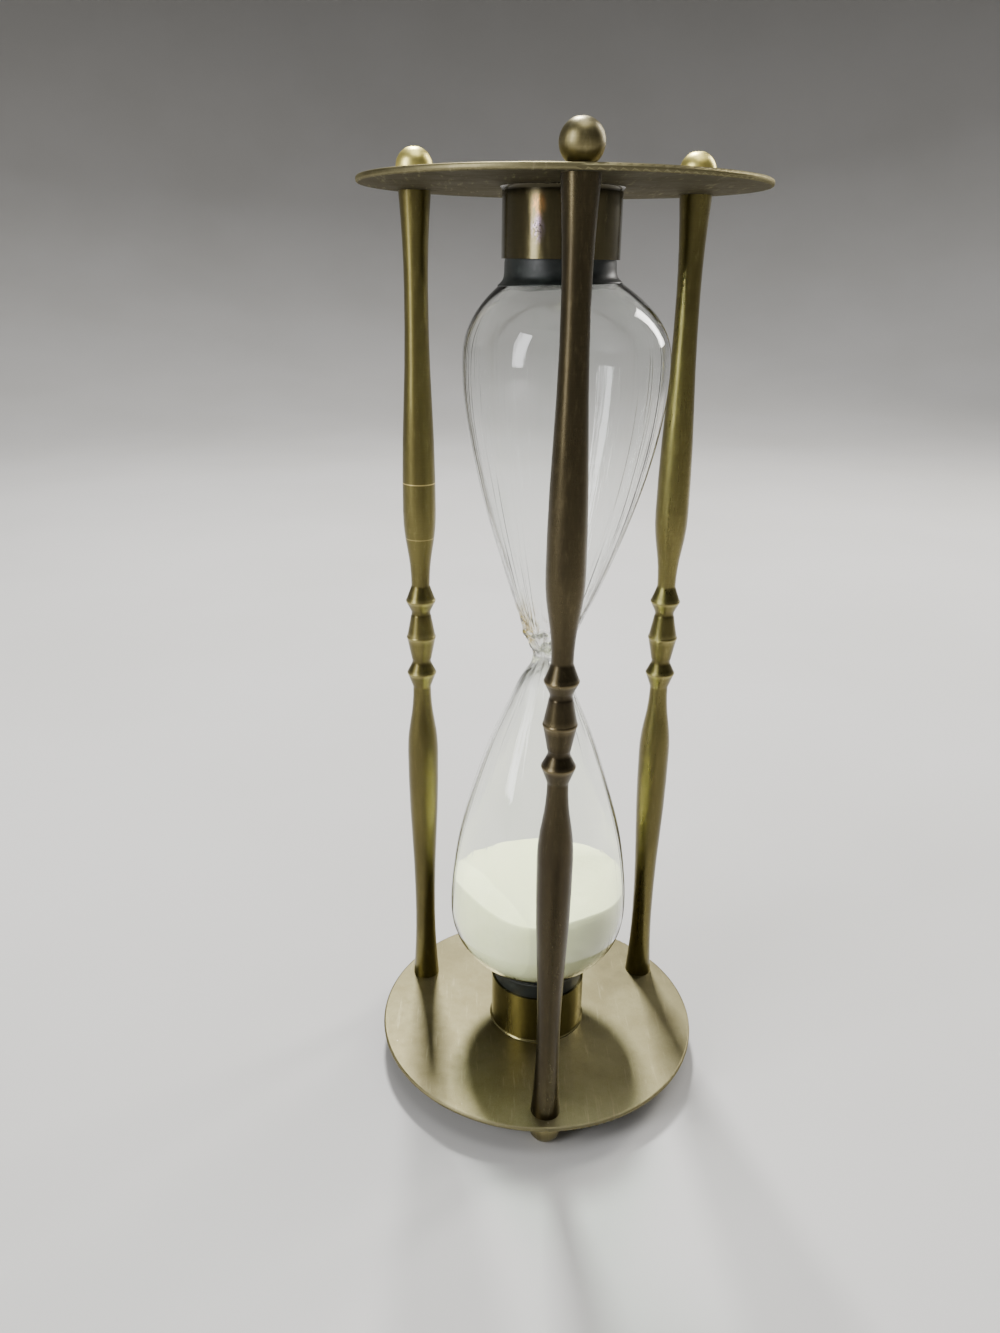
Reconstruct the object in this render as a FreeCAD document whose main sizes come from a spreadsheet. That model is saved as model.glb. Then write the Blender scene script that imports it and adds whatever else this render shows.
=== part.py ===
import FreeCAD, Part
import math
import os
import Sketcher
from FreeCAD import Placement, Rotation, Vector

# Three-post hourglass: two round brass plates held apart by three turned posts, with ball
# finials above and ball feet below on threaded studs. Two blown glass bulbs, fused at
# the waist, stand between two rubber cups, each held in a collar soldered to its plate.
# Lengths are in millimetres. +Z is up and the origin is the middle of the circle on which
# the feet stand.

SIZES = [
    # alias, value, what it is
    ("plate_diameter", 100.0, "round end plates"),
    ("plate_thickness", 1.5, "sheet thickness of the end plates"),
    ("plate_edge_round", 0.6, "rounding of the plates' rims"),
    ("plate_gap", 247.2, "clear height between the plates, which is the posts' length"),
    ("post_rim_inset", 7.3, "axis of each post from the plates' rim"),
    ("post_angle", -90.0, "direction of the front post, in degrees"),
    ("post_count", 3, "posts, finials and feet"),
    ("post_end_radius", 4.3, "post where it meets a plate"),
    ("post_throat_radius", 3.25, "slimmest place of the long taper"),
    ("post_throat_inset", 24.6, "slimmest place, from the plate"),
    ("post_swell_radius", 4.8, "thickest place of the post"),
    ("post_swell_height", 39.0, "thickest place, from the post's middle"),
    ("post_neck_radius", 2.75, "neck between the swell and the beads"),
    ("post_neck_height", 16.6, "that neck, from the post's middle"),
    ("bead_radius", 4.45, "rims of the three beads"),
    ("bead_rim_height", 0.55, "height of the rounding on each side of a bead's rim"),
    ("bead_rim_drop", 0.2, "how far that rounding falls back from the rim"),
    ("outer_bead_height", 11.6, "upper and lower bead, from the post's middle"),
    ("bead_neck_radius", 2.85, "waists between the beads"),
    ("bead_neck_height", 7.7, "those waists, from the post's middle"),
    ("hollow_height", 0.9, "height of the rounding on each side of a neck or waist"),
    ("hollow_rise", 0.2, "how far that rounding rises from the neck or waist"),
    ("ball_diameter", 9.6, "finials and feet"),
    ("ball_seat_land", 0.25, "ring of a ball that bears on its plate round the hole"),
    ("ball_pole_diameter", 2.8, "flat on a ball's far pole"),
    ("stud_diameter", 4.0, "threaded stud through a plate"),
    ("stud_chamfer", 0.5, "chamfer on both ends of a stud"),
    ("stud_in_post", 8.0, "length of stud inside the post"),
    ("stud_in_ball", 5.0, "length of stud inside the ball"),
    ("thread_clearance", 0.02, "between a stud and its tapped holes, on the radius"),
    ("plate_hole_clearance", 0.15, "between a stud and its plate, on the radius"),
    ("tap_spare", 1.2, "tapped hole in a post beyond the stud's end"),
    ("collar_wall", 0.8, "wall of a collar"),
    ("collar_height", 16.3, "collar from its plate to its mouth"),
    ("solder_height", 1.0, "fillet of solder round a collar's foot"),
    ("solder_width", 0.5, "how far that fillet stands out"),
    ("cup_clearance", 0.05, "rubber cup to collar and to glass, on the radius"),
    ("cup_wall", 1.85, "rubber between the glass stub and the collar"),
    ("cup_floor", 2.0, "rubber under the end of the glass"),
    ("cup_lip_reach", 5.9, "cup's lip beyond the collar's mouth"),
    ("cup_lip_overhang", 0.45, "cup's lip beyond the glass where it ends, on the radius"),
    ("waist_rise", 2.5, "waist of the glass above the middle of the hourglass"),
    ("waist_radius", 4.0, "outside of the glass at its waist"),
    ("waist_bead_radius", 5.2, "outside where the waist opens into a bulb"),
    ("waist_bead_height", 3.2, "that place, from the waist"),
    ("cone_radius", 9.3, "outside of a bulb where its flank begins"),
    ("cone_height", 12.5, "that place, from the waist"),
    ("knee_radius", 24.25, "outside of a bulb where its flank turns into the belly"),
    ("knee_to_belly", 23.0, "height from that place to the widest one"),
    ("belly_radius", 27.2, "outside of a bulb at its widest"),
    ("belly_to_shoulder", 17.6, "height from the widest place to the end of the shoulder"),
    ("shoulder_radius", 19.9, "outside where the round shoulder ends in a cone"),
    ("shoulder_cone", 7.4, "height of the cone from the shoulder to the stub"),
    ("stub_radius", 12.0, "outside of the glass stub inside the cup"),
    ("stub_show", 2.3, "stub beyond the collar's mouth"),
    ("stub_end_round", 2.5, "rounding of the stub's closed end"),
    ("glass_wall", 1.2, "wall of the stubs"),
    ("glass_belly_wall", 0.7, "wall of the bulbs, blown thinner than the stubs"),
    ("glass_neck_wall", 1.9, "thicker wall where the flank begins"),
    ("glass_end_wall", 1.6, "closed end of the stub"),
    ("orifice_radius", 0.6, "hole through the waist"),
    ("orifice_height", 1.6, "half the length of that hole"),
    ("sand_clearance", 0.1, "sand to the glass wall, on the radius"),
    ("sand_depth", 50.5, "sand surface above the bottom plate's upper face"),
    ("sand_crown", 0.8, "sand surface at the axis above its edge"),
]


class Size:
    """A length that carries both its value and the spreadsheet expression behind it."""

    def __init__(self, value, text):
        self.value = float(value)
        self.text = text

    @staticmethod
    def of(other):
        return other if isinstance(other, Size) else Size(other, repr(float(other)))

    def __add__(self, other):
        other = Size.of(other)
        return Size(self.value + other.value, f"({self.text} + {other.text})")

    def __sub__(self, other):
        other = Size.of(other)
        return Size(self.value - other.value, f"({self.text} - {other.text})")

    def __mul__(self, other):
        other = Size.of(other)
        return Size(self.value * other.value, f"({self.text} * {other.text})")

    def __truediv__(self, other):
        other = Size.of(other)
        return Size(self.value / other.value, f"({self.text} / {other.text})")

    def __neg__(self):
        return Size(-self.value, f"(-{self.text})")


def root(size):
    return Size(math.sqrt(size.value), f"sqrt({size.text})")


def cosine(degrees):
    return Size(math.cos(math.radians(degrees.value)), f"cos({degrees.text})")


def sine(degrees):
    return Size(math.sin(math.radians(degrees.value)), f"sin({degrees.text})")


ZERO = Size(0, "0")

doc = FreeCAD.newDocument("hourglass")


# ---- sizes ---------------------------------------------------------------------------

def make_sheet():
    """Puts every driving size into the spreadsheet and returns them as named lengths."""
    sheet = doc.addObject("Spreadsheet::Sheet", "Sizes")
    named = {}
    for row, (alias, value, meaning) in enumerate(SIZES, start=1):
        sheet.set(f"A{row}", alias)
        sheet.set(f"B{row}", str(value))
        sheet.set(f"C{row}", meaning)
        sheet.setAlias(f"B{row}", alias)
        named[alias] = Size(value, f"Sizes.{alias}")
    doc.recompute()
    return named


class Sizes:
    """The driving sizes by name."""


for alias, size in make_sheet().items():
    setattr(Sizes, alias, size)

# Places that follow from the driving sizes.
post_circle_radius = Sizes.plate_diameter / 2 - Sizes.post_rim_inset
stud_radius = Sizes.stud_diameter / 2
tap_radius = stud_radius + Sizes.thread_clearance
plate_hole_radius = stud_radius + Sizes.plate_hole_clearance
stud_length = Sizes.stud_in_ball + Sizes.plate_thickness + Sizes.stud_in_post
ball_radius = Sizes.ball_diameter / 2
ball_seat_radius = plate_hole_radius + Sizes.ball_seat_land
ball_pole_radius = Sizes.ball_pole_diameter / 2
ball_centre = root(ball_radius * ball_radius - ball_seat_radius * ball_seat_radius)
ball_height = ball_centre + root(ball_radius * ball_radius - ball_pole_radius * ball_pole_radius)
half_gap = Sizes.plate_gap / 2
bottom_face = ball_height + Sizes.plate_thickness
middle = bottom_face + half_gap
top_face = bottom_face + Sizes.plate_gap
cup_bore = Sizes.stub_radius + Sizes.cup_clearance
cup_radius = cup_bore + Sizes.cup_wall
collar_bore = cup_radius + Sizes.cup_clearance
collar_radius = collar_bore + Sizes.collar_wall
glass_end = half_gap - Sizes.cup_floor
stub_inset = Sizes.collar_height + Sizes.stub_show
stub_mouth = half_gap - stub_inset
shoulder_height = stub_mouth - Sizes.shoulder_cone
belly_height = shoulder_height - Sizes.belly_to_shoulder
knee_height = belly_height - Sizes.knee_to_belly


# ---- drawing and placing -------------------------------------------------------------

def origin_plane(body, role):
    return next(item for item in body.Origin.OriginFeatures if item.Role == role)


def new_body(label):
    body = doc.addObject("PartDesign::Body", label)
    body.Label = label
    return body


def new_sketch(body, name, role):
    sketch = body.newObject("Sketcher::SketchObject", name)
    sketch.AttachmentSupport = [(origin_plane(body, role), "")]
    sketch.MapMode = "FlatFace"
    return sketch


def bind(sketch, constraint, size):
    """Adds a driving constraint and ties it to the spreadsheet."""
    index = sketch.addConstraint(constraint)
    sketch.setExpression(f"Constraints[{index}]", size.text)


ARC_HOLDS = {
    # kind of arc: how its centre is held, and whether to its start or to its end
    "leaves upright": ("Horizontal", True),
    "arrives upright": ("Horizontal", False),
}


def fix_point(sketch, edge, end, x, z):
    """Ties one end of an edge to its place; zero means on the sketch's axis."""
    if x.value == 0:
        sketch.addConstraint(Sketcher.Constraint("PointOnObject", edge, end, -2))
    else:
        bind(sketch, Sketcher.Constraint("DistanceX", -1, 1, edge, end, x.value), x)
    if z.value == 0:
        sketch.addConstraint(Sketcher.Constraint("PointOnObject", edge, end, -1))
    else:
        bind(sketch, Sketcher.Constraint("DistanceY", -1, 1, edge, end, z.value), z)


def arc_centre(start, end, kind, heading):
    """Centre of the arc between two points that leaves or arrives as its kind says."""
    (x0, z0), (x1, z1) = start, end
    dx, dz = x1 - x0, z1 - z0
    chord = dx * dx + dz * dz
    if kind == "leaves upright":
        return x0 + chord / (2 * dx), z0
    if kind == "arrives upright":
        return x1 - chord / (2 * dx), z1
    if kind == "centred on axis":
        return 0.0, (x1 * x1 + z1 * z1 - x0 * x0 - z0 * z0) / (2 * dz)
    # "smooth": the arc leaves in the direction in which the edge before it arrived
    across = (-heading[1], heading[0])
    reach = chord / (2 * (dx * across[0] + dz * across[1]))
    return x0 + reach * across[0], z0 + reach * across[1]


def draw_outline(body, name, points):
    """Closed outline in the body's upright plane, every corner tied to the sizes.

    points is a list of (x, z) or (x, z, kind). The kind says how the edge that ends at
    that point runs: a straight line if it is left out, else the kind of arc.
    """
    sketch = new_sketch(body, name, "XZ_Plane")
    corners = [(point[0].value, point[1].value) for point in points]
    kinds = [point[2] if len(point) > 2 else "line" for point in points]
    heading = (0.0, 1.0)
    edges = []
    for number, kind in enumerate(kinds):
        start, end = corners[number - 1], corners[number]
        if kind == "line":
            first, last = Vector(*start, 0), Vector(*end, 0)
            edge = sketch.addGeometry(Part.LineSegment(first, last), False)
            length = math.dist(start, end)
            heading = ((end[0] - start[0]) / length, (end[1] - start[1]) / length)
            edges.append((edge, 1, 2))
        else:
            centre = arc_centre(start, end, kind, heading)
            start_angle = math.atan2(start[1] - centre[1], start[0] - centre[0])
            end_angle = math.atan2(end[1] - centre[1], end[0] - centre[0])
            turn = (end_angle - start_angle + math.pi) % (2 * math.pi) - math.pi
            circle = Part.Circle(Vector(*centre, 0), Vector(0, 0, 1), math.dist(centre, start))
            if turn > 0:
                arc = Part.ArcOfCircle(circle, start_angle, start_angle + turn)
                edges.append((sketch.addGeometry(arc, False), 1, 2))
                heading = (-math.sin(end_angle), math.cos(end_angle))
            else:
                arc = Part.ArcOfCircle(circle, start_angle + turn, start_angle)
                edges.append((sketch.addGeometry(arc, False), 2, 1))
                heading = (math.sin(end_angle), -math.cos(end_angle))
    for number, kind in enumerate(kinds):
        edge, starts, ends = edges[number]
        edge_before, _, ends_before = edges[number - 1]
        joint = "Tangent" if kind == "smooth" else "Coincident"
        sketch.addConstraint(Sketcher.Constraint(joint, edge_before, ends_before, edge, starts))
        fix_point(sketch, edge, ends, points[number][0], points[number][1])
        if kind in ARC_HOLDS:
            hold, at_start = ARC_HOLDS[kind]
            held_end = starts if at_start else ends
            sketch.addConstraint(Sketcher.Constraint(hold, edge, 3, edge, held_end))
        elif kind == "centred on axis":
            sketch.addConstraint(Sketcher.Constraint("PointOnObject", edge, 3, -2))
    return sketch


def turned_body(label, points):
    """A body turned about its own upright axis from a closed outline."""
    body = new_body(label)
    sketch = draw_outline(body, label + "_outline", points)
    turning = body.newObject("PartDesign::Revolution", label + "_turning")
    turning.Profile = sketch
    turning.ReferenceAxis = (sketch, ["V_Axis"])
    turning.Angle = 360
    sketch.Visibility = False
    return body


def place(body, z, x=ZERO, y=ZERO, flipped=False):
    """Stands a body at its place; a flipped one is turned over about X."""
    turn = Rotation(Vector(1, 0, 0), 180 if flipped else 0)
    body.Placement = Placement(Vector(x.value, y.value, z.value), turn)
    for axis, size in (("x", x), ("y", y), ("z", z)):
        body.setExpression(f".Placement.Base.{axis}", size.text)


def post_places():
    """Name and place of each post's axis, from the front one on, anticlockwise."""
    names = ["front", "right", "left"]
    for number in range(round(Sizes.post_count.value)):
        name = names[number] if number < len(names) else f"post{number + 1}"
        angle = Sizes.post_angle + Size(360, "360") / Sizes.post_count * number
        yield name, post_circle_radius * cosine(angle), post_circle_radius * sine(angle)


# ---- plates --------------------------------------------------------------------------

def make_plate(label, z):
    """Round plate with rolled rims and a clearance hole for each stud."""
    body = new_body(label)
    disc = new_sketch(body, label + "_disc", "XY_Plane")
    edge = disc.addGeometry(Part.Circle(Vector(), Vector(0, 0, 1), Sizes.plate_diameter.value / 2))
    disc.addConstraint(Sketcher.Constraint("Coincident", edge, 3, -1, 1))
    bind(disc, Sketcher.Constraint("Diameter", edge, Sizes.plate_diameter.value),
         Sizes.plate_diameter)
    pad = body.newObject("PartDesign::Pad", label + "_sheet")
    pad.Profile = disc
    pad.setExpression("Length", Sizes.plate_thickness.text)
    doc.recompute()

    rims = [f"Edge{number}" for number, rim in enumerate(pad.Shape.Edges, start=1)
            if isinstance(rim.Curve, Part.Circle)]
    rounding = body.newObject("PartDesign::Fillet", label + "_rims")
    rounding.Base = (pad, rims)
    rounding.setExpression("Radius", Sizes.plate_edge_round.text)
    doc.recompute()

    hole = new_sketch(body, label + "_hole", "XY_Plane")
    _, x, y = next(post_places())
    edge = hole.addGeometry(Part.Circle(Vector(x.value, y.value, 0), Vector(0, 0, 1),
                                        plate_hole_radius.value))
    fix_point(hole, edge, 3, x, y)
    bind(hole, Sketcher.Constraint("Radius", edge, plate_hole_radius.value), plate_hole_radius)
    pocket = body.newObject("PartDesign::Pocket", label + "_stud_hole")
    pocket.Profile = hole
    pocket.Type = "ThroughAll"
    pocket.Reversed = True
    doc.recompute()

    holes = body.newObject("PartDesign::PolarPattern", label + "_stud_holes")
    holes.Originals = [pocket]
    holes.Axis = (hole, ["N_Axis"])
    holes.Angle = 360
    holes.setExpression("Occurrences", Sizes.post_count.text)
    body.Tip = holes
    place(body, z)
    return body


# ---- posts, balls and studs ----------------------------------------------------------

def make_post(name, x, y):
    """Turned post: two long swelling tapers and three coned beads, tapped at both ends."""
    cone_top = Sizes.bead_radius - Sizes.bead_rim_drop
    cone_foot = Sizes.bead_neck_radius + Sizes.hollow_rise
    rim_below = Sizes.outer_bead_height - Sizes.bead_rim_height
    rim_above = Sizes.outer_bead_height + Sizes.bead_rim_height
    throat_z = half_gap - Sizes.post_throat_inset
    bend_r = (Sizes.post_throat_radius + Sizes.post_swell_radius) / 2
    bend_z = (throat_z + Sizes.post_swell_height) / 2
    tap_depth = Sizes.stud_in_post + Sizes.tap_spare
    drop_r = (Sizes.post_swell_radius + Sizes.post_neck_radius) / 2
    drop_z = (Sizes.post_swell_height + Sizes.post_neck_height) / 2
    upper_half = [
        (cone_top, Sizes.bead_rim_height, "leaves upright"),
        (cone_foot, Sizes.bead_neck_height - Sizes.hollow_height),
        (Sizes.bead_neck_radius, Sizes.bead_neck_height, "arrives upright"),
        (cone_foot, Sizes.bead_neck_height + Sizes.hollow_height, "leaves upright"),
        (cone_top, rim_below),
        (Sizes.bead_radius, Sizes.outer_bead_height, "arrives upright"),
        (cone_top, rim_above, "leaves upright"),
        (Sizes.post_neck_radius + Sizes.hollow_rise, Sizes.post_neck_height - Sizes.hollow_height),
        (Sizes.post_neck_radius, Sizes.post_neck_height, "arrives upright"),
        (drop_r, drop_z, "leaves upright"),
        (Sizes.post_swell_radius, Sizes.post_swell_height, "arrives upright"),
        (bend_r, bend_z, "leaves upright"),
        (Sizes.post_throat_radius, throat_z, "arrives upright"),
        (Sizes.post_end_radius, half_gap, "leaves upright"),
        (tap_radius, half_gap),
        (tap_radius, half_gap - tap_depth),
        (ZERO, half_gap - tap_depth),
    ]
    body = turned_body(f"post_{name}", [(ZERO, ZERO), (Sizes.bead_radius, ZERO)] + upper_half)
    half = body.Tip
    mirror = body.newObject("PartDesign::Mirrored", f"post_{name}_lower_half")
    mirror.Originals = [half]
    mirror.MirrorPlane = (origin_plane(body, "XY_Plane"), [""])
    body.Tip = mirror
    place(body, middle, x, y)
    return body


def make_ball(label, x, y, z, flipped):
    """Turned ball with a tapped seat and a small flat on its far pole."""
    body = turned_body(label, [
        (tap_radius, ZERO),
        (ball_seat_radius, ZERO),
        (ball_pole_radius, ball_height, "centred on axis"),
        (ZERO, ball_height),
        (ZERO, Sizes.stud_in_ball),
        (tap_radius, Sizes.stud_in_ball),
    ])
    place(body, z, x, y, flipped)
    return body


def make_stud(label, x, y, z, flipped):
    """Headless stud, from the bottom of the ball's tapped hole up into the post."""
    chamfer = Sizes.stud_chamfer
    body = turned_body(label, [
        (ZERO, ZERO),
        (stud_radius - chamfer, ZERO),
        (stud_radius, chamfer),
        (stud_radius, stud_length - chamfer),
        (stud_radius - chamfer, stud_length),
        (ZERO, stud_length),
    ])
    place(body, z, x, y, flipped)
    return body


# ---- collars and rubber cups ---------------------------------------------------------

def make_collar(label, z, flipped):
    """Short thin tube soldered to its plate, with the solder's fillet round its foot."""
    body = turned_body(label, [
        (collar_bore, ZERO),
        (collar_radius + Sizes.solder_width, ZERO),
        (collar_radius, Sizes.solder_height, "arrives upright"),
        (collar_radius, Sizes.collar_height),
        (collar_bore, Sizes.collar_height),
    ])
    place(body, z, flipped=flipped)
    return body


def make_cup(label, z, flipped):
    """Rubber cup: a floor, a wall that fills the collar, and a flared lip for the glass."""
    lip = Sizes.collar_height + Sizes.cup_lip_reach
    flare = (Sizes.shoulder_radius - Sizes.stub_radius) / Sizes.shoulder_cone
    lip_bore = cup_bore + flare * (lip - stub_inset)
    body = turned_body(label, [
        (ZERO, ZERO),
        (cup_radius, ZERO),
        (cup_radius, Sizes.collar_height),
        (lip_bore + Sizes.cup_lip_overhang, lip, "leaves upright"),
        (lip_bore, lip),
        (cup_bore, stub_inset),
        (cup_bore, Sizes.cup_floor),
        (ZERO, Sizes.cup_floor),
    ])
    place(body, z, flipped=flipped)
    return body


# ---- glass and sand ------------------------------------------------------------------

def bulb_outline(side, wall, belly_wall, neck_wall, end_wall, waist):
    """Half section of one bulb from its closed end to the waist; side is 1 above, -1 below.

    The walls are taken off the outside of the glass, so zero walls give the outside.
    waist holds the last corners, from the flank to the axis.
    """
    slant = belly_wall * math.sqrt(0.5)
    corner = wall * math.tan(math.radians(22.5))
    stub = Sizes.stub_radius - wall
    end = glass_end - end_wall
    end_round = Sizes.stub_end_round - wall
    return [
        (ZERO, end * side),
        (stub - end_round, end * side),
        (stub, (end - end_round) * side, "arrives upright"),
        (stub, (stub_mouth - corner) * side),
        (Sizes.shoulder_radius - slant, (shoulder_height - slant) * side),
        (Sizes.belly_radius - belly_wall, belly_height * side, "arrives upright"),
        (Sizes.knee_radius - belly_wall, knee_height * side, "leaves upright"),
        (Sizes.cone_radius - neck_wall, Sizes.waist_rise + Sizes.cone_height * side, "smooth"),
    ] + waist


def bulb_outside(side):
    return bulb_outline(side, ZERO, ZERO, ZERO, ZERO, [
        (Sizes.waist_bead_radius, Sizes.waist_rise + Sizes.waist_bead_height * side),
        (Sizes.waist_radius, Sizes.waist_rise, "arrives upright"),
        (ZERO, Sizes.waist_rise),
    ])


def bulb_inside(side, clearance=ZERO):
    return bulb_outline(
        side, Sizes.glass_wall + clearance, Sizes.glass_belly_wall + clearance,
        Sizes.glass_neck_wall, Sizes.glass_end_wall, [
            (Sizes.orifice_radius, Sizes.waist_rise + Sizes.orifice_height * side),
            (Sizes.orifice_radius, Sizes.waist_rise),
            (ZERO, Sizes.waist_rise),
        ])


def hollow(body, name, points):
    """Turns a cavity out of a body."""
    cut = body.newObject("PartDesign::Groove", name)
    cut.Profile = draw_outline(body, name + "_outline", points)
    cut.ReferenceAxis = (cut.Profile[0], ["V_Axis"])
    cut.Angle = 360
    return cut


def make_bulb(label, side):
    """One blown bulb with its closed stub, open only at the waist; side is 1 above, -1 below."""
    body = turned_body(label, bulb_outside(side))
    hollow(body, label + "_cavity", bulb_inside(side))
    place(body, middle)
    return body


def make_sand():
    """Sand at rest in the lower bulb, a little clear of the wall, with a low crown."""
    body = turned_body("sand", bulb_inside(-1, Sizes.sand_clearance))
    rim = Sizes.sand_depth - half_gap
    hollow(body, "empty_space", [
        (ZERO, rim + Sizes.sand_crown),
        (Sizes.belly_radius, rim),
        (Sizes.belly_radius, Sizes.waist_rise + Sizes.orifice_height),
        (ZERO, Sizes.waist_rise + Sizes.orifice_height),
    ])
    place(body, middle)
    return body


# ---- the whole hourglass -------------------------------------------------------------

def make_hourglass():
    parts = [
        make_plate("bottom_plate", ball_height),
        make_plate("top_plate", top_face),
        make_collar("lower_collar", bottom_face, flipped=False),
        make_collar("upper_collar", top_face, flipped=True),
        make_cup("lower_rubber_cup", bottom_face, flipped=False),
        make_cup("upper_rubber_cup", top_face, flipped=True),
        make_bulb("lower_bulb", -1),
        make_bulb("upper_bulb", 1),
        make_sand(),
    ]
    finial_seat = top_face + Sizes.plate_thickness
    for name, x, y in post_places():
        parts += [
            make_post(name, x, y),
            make_ball(f"foot_{name}", x, y, ball_height, flipped=True),
            make_ball(f"finial_{name}", x, y, finial_seat, flipped=False),
            make_stud(f"lower_stud_{name}", x, y, ball_height - Sizes.stud_in_ball,
                      flipped=False),
            make_stud(f"upper_stud_{name}", x, y, finial_seat + Sizes.stud_in_ball,
                      flipped=True),
        ]
    return parts


def check(parts):
    """Stops if any feature failed or any sub-part isn't one sound closed solid."""
    for item in doc.Objects:
        if {"Invalid", "Error"} & set(item.State):
            raise RuntimeError(f"{item.Label} did not recompute: {item.State}")
    for body in parts:
        shape = body.Shape
        if shape.isNull() or not shape.isValid() or len(shape.Solids) != 1:
            raise RuntimeError(f"{body.Label} is not one sound solid")


parts = make_hourglass()
doc.recompute()
check(parts)
os.makedirs("parts", exist_ok=True)
for body in parts:
    body.Shape.exportStep(f"parts/{body.Label}.step")
    print(f"{body.Label}: {body.Shape.Volume:.1f} mm3")
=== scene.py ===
"""Looks of a brass hourglass, built around its CAD frame: metres, +Z up, -Y towards the front post.

The turned and sheet brass parts are the frame's own nodes with new finishes. The blown glass, the two
rubber cups and the sand are modelled here in finer detail than the plain solids they stand for.
"""
import math
import random

import bpy
import numpy as np
from mathutils import Matrix, Vector, noise


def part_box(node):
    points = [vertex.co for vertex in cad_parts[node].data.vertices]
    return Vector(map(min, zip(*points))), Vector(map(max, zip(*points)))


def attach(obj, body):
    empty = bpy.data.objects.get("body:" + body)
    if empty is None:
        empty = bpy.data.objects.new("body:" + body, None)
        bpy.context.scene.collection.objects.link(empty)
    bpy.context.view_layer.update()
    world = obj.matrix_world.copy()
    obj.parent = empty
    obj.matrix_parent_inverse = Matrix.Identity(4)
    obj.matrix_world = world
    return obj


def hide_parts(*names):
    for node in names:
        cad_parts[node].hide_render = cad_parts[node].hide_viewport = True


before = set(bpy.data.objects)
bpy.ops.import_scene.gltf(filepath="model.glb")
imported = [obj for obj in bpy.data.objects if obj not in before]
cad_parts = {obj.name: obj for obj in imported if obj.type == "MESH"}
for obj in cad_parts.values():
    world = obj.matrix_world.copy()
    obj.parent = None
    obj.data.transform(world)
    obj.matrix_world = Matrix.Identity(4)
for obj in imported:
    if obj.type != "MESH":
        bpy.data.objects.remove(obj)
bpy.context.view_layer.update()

MM = 0.001
TURN = 2 * math.pi

# ---------------------------------------------------------------- places, from the frame

BODY = "root"
GLASS_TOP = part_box("upper_bulb")[1].z
GLASS_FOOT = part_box("lower_bulb")[0].z
MIDDLE = (GLASS_TOP + GLASS_FOOT) / 2
STUB_END = GLASS_TOP - MIDDLE
CUP_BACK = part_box("upper_rubber_cup")[1].z - MIDDLE
COLLAR_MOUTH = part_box("upper_collar")[0].z - MIDDLE
COLLAR_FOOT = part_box("upper_collar")[1].z - MIDDLE
PLATE_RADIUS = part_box("bottom_plate")[1].x


def middle_of(node):
    """The middle of a node's box."""
    low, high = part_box(node)
    return (low + high) / 2


# ---------------------------------------------------------------- the shape of the glass

WAIST = 2.5 * MM             # height of the narrowest place, above the middle
STUB_RADIUS = 12 * MM        # closed glass stub that each rubber cup holds
STUB_WALL = 1.2 * MM
BELLY_WALL = 0.62 * MM       # the bulbs are blown thinner than the tube they come from
ORIFICE = 0.6 * MM           # radius of the hole that the sand runs through
SHOULDER_START = 96 * MM     # from this height the waves of hand work die away
SHOULDER_END = 106.5 * MM    # beyond this height the glass is the plain round stub

# Outer outline: height from the middle and radius, in millimetres. The two bulbs are blown by hand, so
# the lower one is longer in the cone and fuller at the bottom.
OUTLINE = [
    (-119, 12), (-112, 12), (-106.5, 12), (-104, 12.6), (-101, 15.4), (-97, 19.9), (-91, 24.7),
    (-85, 26.8), (-79, 27.2), (-67, 26.3), (-55, 24.4), (-43, 21.3), (-31, 17.6), (-19, 13.2),
    (-10, 9.35), (-4.7, 7.2), (-0.8, 5), (1.2, 4.2), (2.5, 4), (4.9, 5), (7.2, 6.4), (13, 8.8),
    (19, 11.2), (31, 15.6), (42, 19.3), (53, 22.4), (64, 24.9), (74, 26.4), (82, 26.8), (88.4, 26.1),
    (93, 24), (97.3, 20.6), (101.4, 15.7), (104, 12.6), (106.5, 12), (112, 12), (119, 12),
]

# How far the hand-made glass stands off its true axis, towards +X, at some heights, in millimetres.
LEAN = [
    (-119, 0), (-106.5, 0), (-101, -0.5), (-90, -0.75), (-50, -0.75), (-10, -0.6), (2.5, -0.1),
    (12, 0.6), (31, 1.55), (55, 2.1), (80, 2.2), (95, 1.7), (101.5, 0.8), (106.5, 0), (119, 0),
]


class Curve:
    """A smooth line through a few chosen points (place, value): a natural cubic spline."""

    def __init__(self, points, unit=MM):
        self.place, self.value = np.array(points, float).T * unit
        gap, step = np.diff(self.place), np.diff(self.value)
        count = len(self.place)
        system, slopes = np.eye(count), np.zeros(count)
        for i in range(1, count - 1):
            system[i, i - 1:i + 2] = gap[i - 1], 2 * (gap[i - 1] + gap[i]), gap[i]
            slopes[i] = 6 * (step[i] / gap[i] - step[i - 1] / gap[i - 1])
        self.bend = np.linalg.solve(system, slopes)

    def __call__(self, place):
        place = min(max(place, self.place[0]), self.place[-1])
        i = min(max(int(np.searchsorted(self.place, place)) - 1, 0), len(self.place) - 2)
        gap = self.place[i + 1] - self.place[i]
        a, b = (self.place[i + 1] - place) / gap, (place - self.place[i]) / gap
        straight = a * self.value[i] + b * self.value[i + 1]
        curved = (a**3 - a) * self.bend[i] + (b**3 - b) * self.bend[i + 1]
        return straight + curved * gap * gap / 6


glass_outline = Curve(OUTLINE)
glass_lean = Curve(LEAN)


def fade(value, start, end):
    """0 at start, 1 at end, smoothly in between."""
    t = min(max((value - start) / (end - start), 0), 1)
    return t * t * (3 - 2 * t)


def ripple(angle, height, across, along, seed):
    """Smooth noise from about -1 to 1 on a round surface, with waves of these sizes round it and up it."""
    turn = 20 * MM / across
    return noise.noise(Vector((math.cos(angle) * turn, math.sin(angle) * turn, height / along + seed)))


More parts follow.
